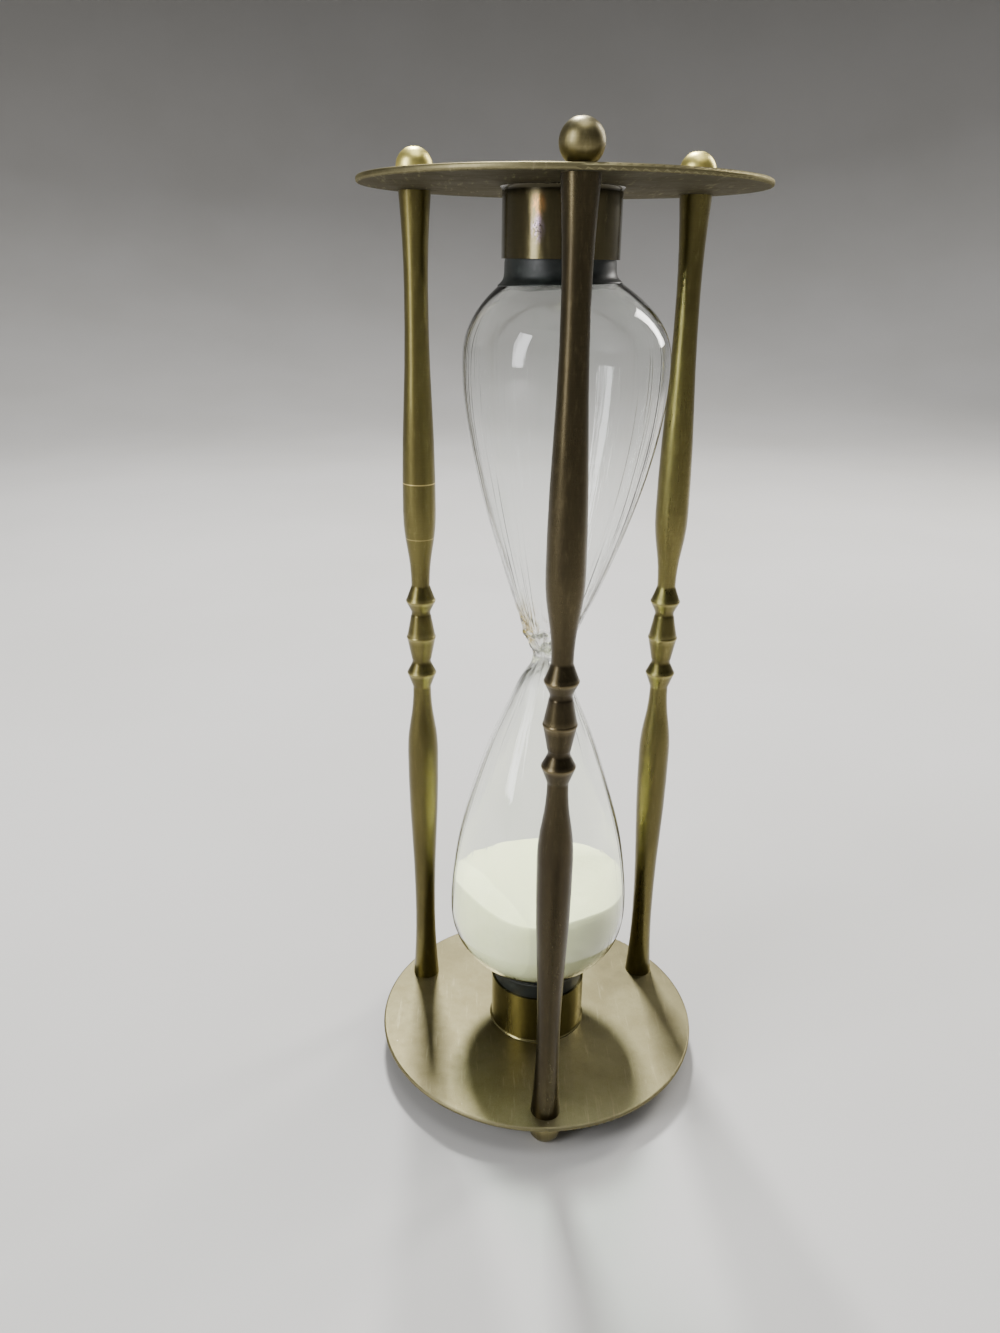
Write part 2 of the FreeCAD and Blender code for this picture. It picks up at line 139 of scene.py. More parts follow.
def blown(height):
    """1 on the blown part of the glass, 0 on its two plain stubs."""
    return 1 - fade(abs(height), SHOULDER_START, SHOULDER_END)


def outer_radius(angle, height):
    """Outside of the glass: slight waves of hand work, lumps at the waist, a crinkled fold on its -X side."""
    near_waist = math.exp(-((height - WAIST) / (9 * MM)) ** 2)
    soft = 0.13 * MM * ripple(angle, height, 13 * MM, 45 * MM, 3.1)
    lumps = 0.4 * MM * near_waist * ripple(angle, height, 9 * MM, 5 * MM, 11.7)
    fold = math.exp(-((height - WAIST - 7 * MM) / (6 * MM)) ** 2) * (0.5 - 0.5 * math.cos(angle)) ** 2
    crinkles = 1.1 * MM * fold * ripple(angle, height, 4.5 * MM, 2.2 * MM, 41.7)
    return glass_outline(height) + blown(height) * soft + lumps + crinkles


def wall_at(angle, height):
    """Thickness of the glass: thin on the bulbs, heavy at the waist, with long streaks and a few knots."""
    away = abs(height - WAIST)
    wall = BELLY_WALL + (STUB_WALL - BELLY_WALL) * (1 - blown(height))
    wall += 0.4 * MM * math.exp(-away / (22 * MM))
    heavy = (glass_outline(WAIST) - ORIFICE - wall) * math.exp(-(away / (5 * MM)) ** 1.4)
    streaks = 0.1 * MM * blown(height) * ripple(angle, height, 6 * MM, 60 * MM, 23.9)
    knots = math.exp(-((height - WAIST - 5 * MM) / (7 * MM)) ** 2) * (1 - math.exp(-(away / (2 * MM)) ** 2))
    return wall + heavy + streaks + 0.9 * MM * knots * ripple(angle, height, 5 * MM, 2.8 * MM, 31.3)


def on_glass(angle, height, radius):
    """The point at this angle, height from the middle and radius from the glass's own leaning axis."""
    x = glass_lean(height) + radius * math.cos(angle)
    return Vector((x, radius * math.sin(angle), MIDDLE + height))


def inner_radius(angle, height):
    """Inside of the glass. The wall is measured nearly square to the outline."""
    step = 0.4 * MM
    slope = (glass_outline(height + step) - glass_outline(height - step)) / (2 * step)
    return outer_radius(angle, height) - wall_at(angle, height) * math.sqrt(1 + slope * slope) ** 0.8


# ---------------------------------------------------------------- the slopes of the sand

PEAK = Vector((-15 * MM, -12 * MM))    # where the first two ridges meet, in plan

# The sand slid away to the left of two ridges that meet at the peak, and a little left of a third. Each
# ridge is the direction it runs along and how steeply the face falls to its left.
RIDGES = [
    (Vector((-0.44, 0.9)), 0.42),
    (Vector((-0.584, 0.812)), 0.42),
    (Vector((0.07, 1.0)), 0.09),
]

# ---------------------------------------------------------------- mesh helpers

ROUND = 112        # points round the glass
ROUND_CUP = 128    # points round a rubber cup
ROUND_SAND = 144   # points round the sand


def ring_mesh(rings, flip=False):
    """Vertices and faces of a closed skin through rings of points, with a pole at each end."""
    count = len(rings[0])
    points = [p for ring in rings for p in ring]
    poles = [sum(rings[0], Vector()) / count, sum(rings[-1], Vector()) / count]
    start, end = len(points), len(points) + 1
    faces = []
    for j in range(len(rings) - 1):
        for i in range(count):
            k = (i + 1) % count
            faces.append((j * count + i, j * count + k, (j + 1) * count + k, (j + 1) * count + i))
    last = (len(rings) - 1) * count
    for i in range(count):
        k = (i + 1) % count
        faces.append((start, k, i))
        faces.append((end, last + i, last + k))
    if flip:
        faces = [face[::-1] for face in faces]
    return points + poles, faces


def piece(name, skins, material, replaced=()):
    """One smooth mesh piece made of closed skins, riding on the body and standing for CAD nodes."""
    points, faces = [], []
    for skin_points, skin_faces in skins:
        shift = len(points)
        points += [tuple(p) for p in skin_points]
        faces += [tuple(i + shift for i in face) for face in skin_faces]
    mesh = bpy.data.meshes.new(name)
    mesh.from_pydata(points, [], faces)
    mesh.polygons.foreach_set("use_smooth", [True] * len(faces))
    mesh.materials.append(material)
    mesh.update()
    made = bpy.data.objects.new(name, mesh)
    bpy.context.scene.collection.objects.link(made)
    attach(made, BODY)
    if replaced:
        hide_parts(*replaced)


def angles(count):
    """Evenly spaced directions, once round."""
    return [TURN * i / count for i in range(count)]


def steps(start, end, step):
    """Evenly spaced values from start to end, both included, about a step apart."""
    count = max(1, math.ceil(abs(end - start) / step))
    return [start + (end - start) * i / count for i in range(count + 1)]


# ---------------------------------------------------------------- material helpers

def colour(red, green, blue):
    """Scene-linear colour from the usual 0 to 255 values."""
    parts = [c / 255 for c in (red, green, blue)]
    return tuple(c / 12.92 if c <= 0.04045 else ((c + 0.055) / 1.055) ** 2.4 for c in parts) + (1,)


class Graph:
    """A material's node tree, with short calls for what the finishes below share."""

    def __init__(self, name):
        self.material = bpy.data.materials.new(name)
        self.material.use_nodes = True
        self.tree = self.material.node_tree
        self.tree.nodes.clear()
        self.output = self.tree.nodes.new("ShaderNodeOutputMaterial")
        self.position = self.node("TexCoord").outputs["Object"]

    def plug(self, socket, value):
        if isinstance(value, bpy.types.NodeSocket):
            self.tree.links.new(value, socket)
        else:
            socket.default_value = value

    def node(self, kind, settings=None, **sockets):
        """A new node. Its sockets are given by name, with _ for a space."""
        made = self.tree.nodes.new("ShaderNode" + kind)
        for name, value in (settings or {}).items():
            setattr(made, name, value)
        for name, value in sockets.items():
            self.plug(made.inputs[name.replace("_", " ")], value)
        return made

    def math(self, operation, a, b=0.0):
        made = self.node("Math", {"operation": operation})
        self.plug(made.inputs[0], a)
        self.plug(made.inputs[1], b)
        return made.outputs[0]

    def vector(self, operation, a, b=(0, 0, 0)):
        made = self.node("VectorMath", {"operation": operation})
        self.plug(made.inputs[0], a)
        self.plug(made.inputs[1], b)
        return made.outputs["Value" if operation in ("LENGTH", "DOT_PRODUCT") else "Vector"]

    def ramp(self, value, low, high, start=0.0, end=1.0):
        """start where value is low, end where it is high, smoothly in between."""
        made = self.node("MapRange", {"interpolation_type": "SMOOTHSTEP"}, Value=value)
        for name, number in (("From Min", low), ("From Max", high), ("To Min", start), ("To Max", end)):
            made.inputs[name].default_value = number
        return made.outputs["Result"]

    def mix(self, share, a, b):
        """Colour a where share is 0 and colour b where it is 1."""
        made = self.node("Mix", {"data_type": "RGBA"})
        for index, value in ((0, share), (6, a), (7, b)):
            self.plug(made.inputs[index], value)
        return made.outputs[2]

    def places(self, size, seed=0.0, centre=(0, 0, 0)):
        """Object coordinates counted in units of size, which is one length or one each way."""
        across = size if isinstance(size, tuple) else (size,) * 3
        moved = self.vector("SUBTRACT", self.position, centre)
        scaled = self.vector("MULTIPLY", moved, tuple(1 / s for s in across))
        return self.vector("ADD", scaled, (seed, seed * 0.7, seed * 1.3))

    def noise(self, size, detail=3.0, rough=0.55, seed=0.0):
        places = self.places(size, seed)
        made = self.node("TexNoise", Vector=places, Scale=1.0, Detail=detail, Roughness=rough)
        return made.outputs["Fac"]

    def specks(self, size, share, radius, seed=0.0):
        """1 in round specks of about that radius, kept in a share of cells of that size, 0 elsewhere."""
        places = self.places(size, seed)
        cells = self.node("TexVoronoi", Vector=places, Scale=1.0)
        chance = self.node("SeparateColor", Color=cells.outputs["Color"]).outputs[0]
        kept = self.math("LESS_THAN", chance, share)
        spot = self.ramp(cells.outputs["Distance"], radius / size, 0.5 * radius / size)
        return self.math("MULTIPLY", spot, kept)

    def bump(self, height, depth, normal=None):
        made = self.node("Bump", Height=height, Distance=depth, Strength=1.0)
        if normal is not None:
            self.plug(made.inputs["Normal"], normal)
        return made.outputs["Normal"]

    def surface(self, shader):
        self.tree.links.new(shader, self.output.inputs["Surface"])
        return self.material


# A post's beads, for the rubbing on their rims, the patina between them and the painted shade below them.
# Heights are from the middle of the beads, and radii from the post's axis.
BEADS_END = 15 * MM
BEAD_RIM = 4.42 * MM
BEAD_WAIST = 2.9 * MM


def brass(name, bright, plain, dark, gloss, seed, centre=(0, 0), ring_depth=0.003, lacquer=0.2,
          beads=None, marks=None):
    """Antique brass with a cloudy patina, rubbed bright in places, with lathe rings about centre.

    ring_depth is in millimetres. beads is the height about which the turned beads lie: their rims are
    rubbed bright, the hollows between them are dark, and below them the post is painted darker towards its
    foot, a painted shade.
    marks(graph, tone) may paint more on the tone, and returns it.
    """
    g = Graph(name)
    apart = g.node("SeparateXYZ", Vector=g.vector("SUBTRACT", g.position, (*centre, 0)))
    flat = g.node("CombineXYZ", X=apart.outputs["X"], Y=apart.outputs["Y"])
    radius = g.vector("LENGTH", flat.outputs["Vector"])
    patina = g.noise((6 * MM, 6 * MM, 30 * MM), detail=5, rough=0.6, seed=seed)
    rubbing = g.noise((1.1 * MM, 1.1 * MM, 5 * MM), detail=4, rough=0.7, seed=seed + 5)
    rings = g.noise((9 * MM, 9 * MM, 0.3 * MM), detail=3, rough=0.75, seed=seed + 9)
    tone = g.mix(g.ramp(patina, 0.3, 0.6, 0.3, 1.0), dark, plain)
    tone = g.mix(g.ramp(rubbing, 0.5, 0.85, 0.0, 0.4), tone, bright)
    if beads is not None:
        away = g.math("ABSOLUTE", g.math("SUBTRACT", apart.outputs["Z"], beads))
        near = g.ramp(away, BEADS_END, BEADS_END - 2 * MM)
        rims = g.math("MULTIPLY", g.ramp(radius, BEAD_RIM - 0.52 * MM, BEAD_RIM), near)
        hollows = g.math("MULTIPLY", g.ramp(radius, BEAD_WAIST + 0.6 * MM, BEAD_WAIST), near)
        tone = g.mix(g.math("MULTIPLY", rims, 0.75), tone, bright)
        tone = g.mix(g.math("MULTIPLY", hollows, 0.7), tone, dark)
        # Painted shade: the post is painted darker from below its beads down towards its foot.
        up = apart.outputs["Z"]
        lower = g.math(
            "MULTIPLY", g.ramp(up, beads - 8 * MM, beads - 45 * MM),
            g.ramp(up, beads - 122 * MM, beads - 95 * MM),
        )
        tone = g.mix(g.math("MULTIPLY", lower, 0.6), tone, dark)
    tone = g.mix(g.ramp(rings, 0.3, 0.7, 0.0, 0.2), tone, dark)
    if marks:
        tone = marks(g, tone)
    tarnish = g.specks(1.6 * MM, 0.1, 0.15 * MM, seed=seed + 2)
    tone = g.mix(g.math("MULTIPLY", tarnish, 0.6), tone, colour(48, 38, 24))
    rough = g.math(
        "ADD", g.ramp(patina, 0.3, 0.7, gloss + 0.06, gloss - 0.04),
        g.ramp(rubbing, 0.3, 0.8, -0.03, 0.06),
    )
    normal = g.bump(rings, ring_depth * MM)
    normal = g.bump(rubbing, 0.001 * MM, normal)
    shader = g.node(
        "BsdfPrincipled", Base_Color=tone, Metallic=1.0, Roughness=rough, Normal=normal,
        Coat_Weight=lacquer, Coat_Roughness=0.18, Coat_IOR=1.45, Anisotropic=0.35,
        Tangent=g.node("Tangent", {"direction_type": "RADIAL", "axis": "Z"}).outputs[0],
    )
    return g.surface(shader.outputs["BSDF"])


def plate_brass(name, face, cloudy, shaded_under, seed=0.0):
    """Satin sheet brass: cloudy lacquer, a fine grain, pits, scuffs, dust and a rim painted lighter as a
    highlight.

    face and cloudy are the tones of the upper face, and the third tone is the lower face's: painted shade,
    darker where the surface looks down.
    """
    g = Graph(name)
    apart = g.node("SeparateXYZ", Vector=g.position)
    flat = g.node("CombineXYZ", X=apart.outputs["X"], Y=apart.outputs["Y"])
    radius = g.vector("LENGTH", flat.outputs["Vector"])
    cloud = g.noise(17 * MM, detail=5, rough=0.55, seed=seed)
    mottle = g.noise(3.2 * MM, detail=5, rough=0.7, seed=seed + 3)
    grain = g.noise(0.3 * MM, detail=2, rough=0.6, seed=seed + 6)
    tone = g.mix(g.ramp(cloud, 0.32, 0.68), cloudy, face)
    facing = g.node("SeparateXYZ", Vector=g.node("NewGeometry").outputs["True Normal"]).outputs["Z"]
    tone = g.mix(g.ramp(mottle, 0.35, 0.8, 0.0, 0.3), tone, colour(104, 96, 64))
    tone = g.mix(g.ramp(grain, 0.4, 0.7, 0.0, 0.14), tone, colour(176, 166, 138))
    # Painted shade: the faces that look down are painted darker.
    tone = g.mix(g.ramp(facing, -0.2, -0.8, 0.0, 0.9), tone, shaded_under)
    # Painted highlight: the outer half millimetre of the rim is painted lighter.
    rim = g.ramp(radius, PLATE_RADIUS - 0.8 * MM, PLATE_RADIUS - 0.3 * MM)
    tone = g.mix(g.math("MULTIPLY", rim, 0.4), tone, colour(140, 133, 100))
    pits = g.specks(6 * MM, 0.18, 0.24 * MM, seed=seed + 2)
    tone = g.mix(g.math("MULTIPLY", pits, 0.75), tone, colour(58, 48, 36))
    scuffs = g.ramp(g.noise((1.2 * MM, 14 * MM, 4 * MM), detail=3, rough=0.7, seed=seed + 8), 0.56, 0.74)
    tone = g.mix(g.math("MULTIPLY", scuffs, 0.3), tone, colour(178, 170, 136))
    dust = g.specks(5 * MM, 0.14, 0.2 * MM, seed=seed + 4)
    tone = g.mix(g.math("MULTIPLY", dust, 0.6), tone, colour(225, 220, 205))
    rough = g.math("ADD", g.ramp(cloud, 0.3, 0.7, 0.42, 0.5), g.ramp(mottle, 0.3, 0.8, -0.04, 0.06))
    rough = g.math("ADD", rough, g.ramp(facing, -0.2, -0.8, 0.0, 0.2))
    normal = g.bump(cloud, 0.05 * MM)
    normal = g.bump(grain, 0.002 * MM, normal)
    normal = g.bump(pits, -0.04 * MM, normal)
    shader = g.node(
        "BsdfPrincipled", Base_Color=tone, Metallic=1.0, Roughness=rough, Normal=normal,
        Specular_Tint=(0.62, 0.6, 0.55, 1),
    )
    return g.surface(shader.outputs["BSDF"])


def rubber(name):
    """Moulded rubber: greenish black, with a pale bloom in places, lint and a fine skin."""
    g = Graph(name)
    bloom = g.noise((5 * MM, 5 * MM, 3 * MM), detail=5, rough=0.65)
    skin = g.noise(0.35 * MM, detail=3, rough=0.6, seed=4.0)
    tone = g.mix(g.ramp(bloom, 0.4, 0.75), colour(17, 23, 22), colour(36, 44, 41))
    lint = g.specks(1.8 * MM, 0.12, 0.12 * MM, seed=2.0)
    tone = g.mix(g.math("MULTIPLY", lint, 0.5), tone, colour(140, 146, 138))
    rough = g.ramp(bloom, 0.3, 0.7, 0.36, 0.52)
    normal = g.bump(skin, 0.01 * MM)
    shader = g.node("BsdfPrincipled", Base_Color=tone, Roughness=rough, Normal=normal)
    shader.inputs["Sheen Weight"].default_value = 0.15
    shader.inputs["Sheen Roughness"].default_value = 0.4
    return g.surface(shader.outputs["BSDF"])


FOLD = (-7.5 * MM, 0, MIDDLE + 10 * MM)    # the crinkled fold above the waist


def glass(name):
    """Clear lampblown glass: a trace of green, faint smears, drawn streaks, and in the fold amber specks that
    are a painted reflection of the brass seen through the thick glass.

    Shadow rays pass straight through it, so that lamps light what stands behind.
    """
    g = Graph(name)
    smear = g.noise((9 * MM, 9 * MM, 30 * MM), detail=6, rough=0.7, seed=2.0)
    apart = g.node("SeparateXYZ", Vector=g.position)
    across = g.node("CombineXYZ", X=apart.outputs["X"], Y=apart.outputs["Y"]).outputs[0]
    round_it = g.node("SeparateXYZ", Vector=g.vector("NORMALIZE", across))
    drawn_way = g.node(
        "CombineXYZ", X=round_it.outputs["X"], Y=round_it.outputs["Y"],
        Z=g.math("MULTIPLY", apart.outputs["Z"], 0.9),
    ).outputs[0]
    drawn = g.node("TexNoise", Vector=drawn_way, Scale=13.0, Detail=2.0, Roughness=0.5).outputs["Fac"]
    tone = g.mix(g.ramp(smear, 0.45, 0.8), colour(253, 254, 253), colour(246, 250, 247))
    # Painted reflection: amber specks near the fold stand in for the brass posts seen through the crinkled
    # glass.
    near_fold = g.ramp(g.vector("LENGTH", g.places((1.0, 1.4, 2.2), centre=FOLD)), 6 * MM, 3 * MM)
    brass_glints = g.ramp(g.noise(1.1 * MM, seed=8.0), 0.44, 0.56)
    tone = g.mix(g.math("MULTIPLY", near_fold, brass_glints), tone, colour(204, 172, 42))
    rough = g.ramp(smear, 0.55, 0.85, 0.0, 0.05)
    streaked = g.math(
        "MULTIPLY", g.ramp(apart.outputs["Z"], MIDDLE - 40 * MM, MIDDLE, 0.25, 1.0),
        g.ramp(apart.outputs["Z"], MIDDLE + 98 * MM, MIDDLE + 82 * MM),
    )
    normal = g.bump(g.math("MULTIPLY", g.ramp(drawn, 0.5, 0.72), streaked), 0.055 * MM)
    clear = g.node(
        "BsdfPrincipled", Base_Color=tone, Roughness=rough, Normal=normal,
        Transmission_Weight=1.0, IOR=1.48,
    )
    open_way = g.node("BsdfTransparent", Color=colour(246, 250, 247))
    is_shadow = g.node("LightPath").outputs["Is Shadow Ray"]
    both = g.node("MixShader", Fac=is_shadow)
    g.tree.links.new(clear.outputs["BSDF"], both.inputs[1])
    g.tree.links.new(open_way.outputs["BSDF"], both.inputs[2])
    return g.surface(both.outputs["Shader"])


def white_sand(name):
    """Fine pale sand: grains of slightly different whites, with painted shade that makes the crown greyer
    than the faces which slid left of the ridges.
    """
    g = Graph(name)
    grain = g.node("TexVoronoi", Vector=g.places(0.32 * MM), Scale=1.0)
    tint = g.node("SeparateColor", Color=grain.outputs["Color"]).outputs[0]
    drift = g.noise(7 * MM, detail=5, rough=0.6, seed=4.0)
    fine = g.noise(0.5 * MM, detail=4, rough=0.7, seed=6.0)
    # Painted reflection: the sand is white, and its cream-green tint stands in for light thrown on it by the
    # brass around it.
    tone = g.mix(g.ramp(drift, 0.35, 0.7), colour(252, 255, 206), colour(247, 251, 196))
    # Painted shade: the crown is painted greyer, so that the faces which slid left of the ridges read as lit.
    lit_slopes = 0.0
    for along, _ in RIDGES[:2]:
        left = g.vector("DOT_PRODUCT", g.vector("SUBTRACT", g.position, (*PEAK, 0)), (-along.y, along.x, 0))
        lit_slopes = g.math("MAXIMUM", lit_slopes, g.ramp(left, -0.5 * MM, 0.3 * MM))
    tone = g.mix(lit_slopes, g.mix(0.75, tone, colour(225, 227, 181)), tone)
    tone = g.mix(g.ramp(tint, 0.0, 1.0, 0.0, 0.25), tone, colour(236, 232, 180))
    dark = g.specks(1.1 * MM, 0.05, 0.14 * MM, seed=3.0)
    tone = g.mix(g.math("MULTIPLY", dark, 0.35), tone, colour(150, 140, 112))
    normal = g.bump(grain.outputs["Distance"], 0.05 * MM)
    normal = g.bump(fine, 0.08 * MM, normal)
    shader = g.node(
        "BsdfPrincipled", Base_Color=tone, Roughness=g.ramp(fine, 0.3, 0.7, 0.8, 0.95), Normal=normal,
    )
    shader.inputs["Subsurface Weight"].default_value = 0.15
    shader.inputs["Subsurface Radius"].default_value = (1.0, 1.0, 0.9)
    shader.inputs["Subsurface Scale"].default_value = 0.4 * MM
    return g.surface(shader.outputs["BSDF"])


def studio_floor():
    """Plain studio sweep, pale on the floor and painted a softer grey up the wall, a painted shade for light
    that falls off with height.
    """
    g = Graph("studio_floor")
    cloud = g.noise(0.25, detail=4, rough=0.5)
    tone = g.mix(g.ramp(cloud, 0.3, 0.7), colour(203, 201, 197), colour(209, 207, 204))
    height = g.node("SeparateXYZ", Vector=g.position).outputs["Z"]
    # Painted shade: the sweep is painted darker grey towards the top of the wall.
    tone = g.mix(g.ramp(height, 0.0, 1.2), tone, colour(132, 130, 127))
    shader = g.node("BsdfPrincipled", Base_Color=tone, Roughness=0.7)
    return g.surface(shader.outputs["BSDF"])


# ---------------------------------------------------------------- brass parts, the frame's own nodes

SCRIBED_LINES = ((47.1 * MM, 0.85), (30.9 * MM, 0.35))    # height above the middle and strength


def scribed(g, tone):
    """Two lines turned into a post above its middle, one bright and one faint."""
    z = g.node("SeparateXYZ", Vector=g.position).outputs["Z"]
    for height, strength in SCRIBED_LINES:
        away = g.math("ABSOLUTE", g.math("SUBTRACT", z, MIDDLE + height))
        tone = g.mix(g.ramp(away, 0.22 * MM, 0.08 * MM, 0.0, strength), tone, colour(222, 202, 132))
    return tone


COLLAR_RADIUS = 14.75 * MM
STAIN_ANGLE = math.radians(-117)
STAIN = Vector((
    COLLAR_RADIUS * math.cos(STAIN_ANGLE), COLLAR_RADIUS * math.sin(STAIN_ANGLE), MIDDLE + 114 * MM,
))


def darkened_foot(g, tone):
    """Darker along the foot of the upper collar, where it meets its plate."""
    z = g.node("SeparateXYZ", Vector=g.position).outputs["Z"]
    out = g.math("ABSOLUTE", g.math("SUBTRACT", z, MIDDLE))
    near = g.ramp(out, COLLAR_FOOT - 2.2 * MM, COLLAR_FOOT - 0.9 * MM, 0.0, 0.85)
    return g.mix(near, tone, colour(40, 37, 26))


def stained(g, tone):
    """A darker foot and a stain on the upper collar: dark specks in a violet smear, with a warm orange tint
    above.
    """
    tone = darkened_foot(g, tone)
    broken = g.ramp(g.noise((1.6 * MM, 1.6 * MM, 3 * MM), detail=4, rough=0.7, seed=12.0), 0.36, 0.62)
    smear = g.vector("LENGTH", g.places((1.0, 1.0, 1.9), centre=tuple(STAIN)))
    tint = g.vector("LENGTH", g.places((1.0, 1.0, 1.5), centre=tuple(STAIN + Vector((0, 0, 5 * MM)))))
    warm = g.math("MULTIPLY", g.ramp(tint, 2.6 * MM, 0.4 * MM, 0.0, 0.5), broken)
    tone = g.mix(warm, tone, colour(190, 128, 66))
    cool = g.math("MULTIPLY", g.ramp(smear, 2.3 * MM, 0.6 * MM, 0.0, 0.65), broken)
    tone = g.mix(cool, tone, colour(142, 122, 150))
    near = g.ramp(smear, 1.7 * MM, 0.8 * MM)
    dots = g.ramp(g.noise(0.42 * MM, detail=2, seed=14.0), 0.52, 0.6)
    return g.mix(g.math("MULTIPLY", g.math("MULTIPLY", near, dots), 0.85), tone, colour(36, 30, 26))


def finish_brass():
    """Gives every brass node of the frame its finish."""
    champagne = dict(face=colour(131, 125, 93), cloudy=colour(120, 113, 82), shaded_under=colour(54, 51, 42))
    paint("bottom_plate", plate_brass("bottom_plate_brass", **champagne))
    paint("top_plate", plate_brass("top_plate_brass", seed=13.0, **champagne))
    olive = dict(bright=colour(160, 150, 96), plain=colour(113, 105, 60), dark=colour(84, 76, 42))
    # The front post, its finial and its foot are given darker tones than the back ones.
    bronze = dict(bright=colour(118, 106, 78), plain=colour(77, 69, 49), dark=colour(54, 47, 34))
    posts = {
        "left": dict(olive, gloss=0.34, marks=scribed, seed=1.0),
        "right": dict(olive, gloss=0.3, seed=4.0),
        "front": dict(bronze, gloss=0.3, lacquer=0.12, seed=7.0),
    }
    gold = dict(bright=colour(254, 247, 176), plain=colour(250, 236, 142), dark=colour(214, 194, 106))
    dark_gold = dict(bright=colour(190, 180, 134), plain=colour(136, 127, 90), dark=colour(96, 88, 60))
    ball = dict(gloss=0.4, ring_depth=0.01, lacquer=0.08)
    stud = dict(gloss=0.38, lacquer=0.0)
    for place, look in posts.items():
        centre = middle_of("post_" + place)
        axis = (centre.x, centre.y)
        paint("post_" + place, brass(f"post_{place}_brass", centre=axis, beads=MIDDLE, **look))
        ball_tones = dark_gold if place == "front" else gold
        for kind in ("finial", "foot"):
            node = f"{kind}_{place}"
            paint(node, brass(node + "_brass", seed=look["seed"] + 20, centre=axis, **ball, **ball_tones))
        for side in ("upper", "lower"):
            node = f"{side}_stud_{place}"
            paint(node, brass(node + "_brass", seed=look["seed"] + 40, centre=axis, **stud, **gold))
    polished = dict(gloss=0.2, ring_depth=0.0008)
    # The upper collar is given darker tones than the lower one.
    dusky = dict(bright=colour(128, 119, 84), plain=colour(92, 85, 59), dark=colour(66, 61, 42))
    paler = dict(bright=colour(186, 176, 122), plain=colour(146, 139, 92), dark=colour(108, 101, 64))
    paint("upper_collar", brass("upper_collar_brass", marks=stained, seed=50.0, **polished, **dusky))
    paint("lower_collar", brass("lower_collar_brass", seed=55.0, **polished, **paler))


def paint(node, material):
    """Puts a material on a node of the frame."""
    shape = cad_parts[node]
    for holder in shape.material_slots:
        holder.material = material


# ---------------------------------------------------------------- glass

END_ROUND = 3 * MM     # rounding of the stubs' closed ends
END_WALL = 1.6 * MM    # thickness of those ends

# Rings of the glass are closer together between two heights about the waist than beyond them.
FINE_FROM = -16 * MM
FINE_TO = 22 * MM
FINE_STEP = 0.45 * MM
PLAIN_STEP = 1.3 * MM


def glass_heights(end):
    """Heights of the glass's rings from one end to the other."""
    below = steps(-end, FINE_FROM, PLAIN_STEP)[:-1]
    waist = steps(FINE_FROM, FINE_TO, FINE_STEP)
    above = steps(FINE_TO, end, PLAIN_STEP)[1:]
    return below + waist + above


def glass_skin(radius_at, end, rounding, flip):
    """One skin of the glass, outer or inner, with a rounded closed end at -end and at +end."""
    straight = [(height, 0.0) for height in glass_heights(end - rounding)]
    corner = []
    for a in steps(0, TURN / 4, TURN / 28)[1:]:
        corner.append((end - rounding * (1 - math.sin(a)), rounding * (1 - math.cos(a))))
    flat = [(end, rounding + inward * MM) for inward in (2, 4, 6)]
    rings = []
    for height, inset in [(-h, i) for h, i in reversed(corner + flat)] + straight + corner + flat:
        rings.append([on_glass(a, height, radius_at(a, height) - inset) for a in angles(ROUND)])
    return ring_mesh(rings, flip)


def make_glass(material):
    """The two bulbs and their stubs as one hollow glass, closed at both ends."""
    outer = glass_skin(outer_radius, STUB_END, END_ROUND, flip=False)
    inner = glass_skin(inner_radius, STUB_END - END_WALL, END_ROUND - STUB_WALL, flip=True)
    piece("blown_glass", [outer, inner], material, ("lower_bulb", "upper_bulb"))


# ---------------------------------------------------------------- rubber cups

CUP_RADIUS = 13.88 * MM       # a hair under the collar's bore
LIP_REACH = 15.2 * MM         # where the lip's edge lies on the glass, from the collar's axis
LIP_EDGE = 0.45 * MM          # thickness of the lip's edge
GRIP = 0.06 * MM              # between the rubber and the glass
SHOULDER_FOOT = 106 * MM      # height of the last ring of a cup's inside on the shoulder
STUB_START = 108 * MM         # height of its first ring on the stub
SHOULDER_RINGS = 16


def lip_height(angle, side):
    """Height, out from the middle, at which the glass is as wide as the lip reaches, found by halving."""
    low, high = 90 * MM, 104 * MM
    for _ in range(24):
        height = (low + high) / 2
        point = on_glass(angle, side * height, outer_radius(angle, side * height))
        low, high = (height, high) if math.hypot(point.x, point.y) > LIP_REACH else (low, height)
    return (low + high) / 2


def cup_outside(lip):
    """(height, radius) down the outside of a cup, from its back to the edge of its lip."""
    mouth = COLLAR_MOUTH
    return [
        (CUP_BACK, 6 * MM), (CUP_BACK, CUP_RADIUS - 1.2 * MM), (CUP_BACK - 0.3 * MM, CUP_RADIUS - 0.4 * MM),
        (CUP_BACK - 1 * MM, CUP_RADIUS), (mouth + 5 * MM, CUP_RADIUS), (mouth - 0.15 * MM, CUP_RADIUS),
        (mouth - 0.8 * MM, 13.98 * MM), (lip + 3.0 * MM, 14.02 * MM), (lip + 2.0 * MM, 14.12 * MM),
        (lip + 1.35 * MM, 14.34 * MM), (lip + 0.8 * MM, 14.72 * MM), (lip + 0.35 * MM, 15.2 * MM),
        (lip + 0.1 * MM, LIP_REACH + LIP_EDGE * 0.75), (lip - 0.12 * MM, LIP_REACH + LIP_EDGE),
        (lip - 0.25 * MM, LIP_REACH + LIP_EDGE * 0.8),
    ]


def raised(point, height):
    """A point moved up to this height from the middle."""
    return point + Vector((0, 0, MIDDLE + height))


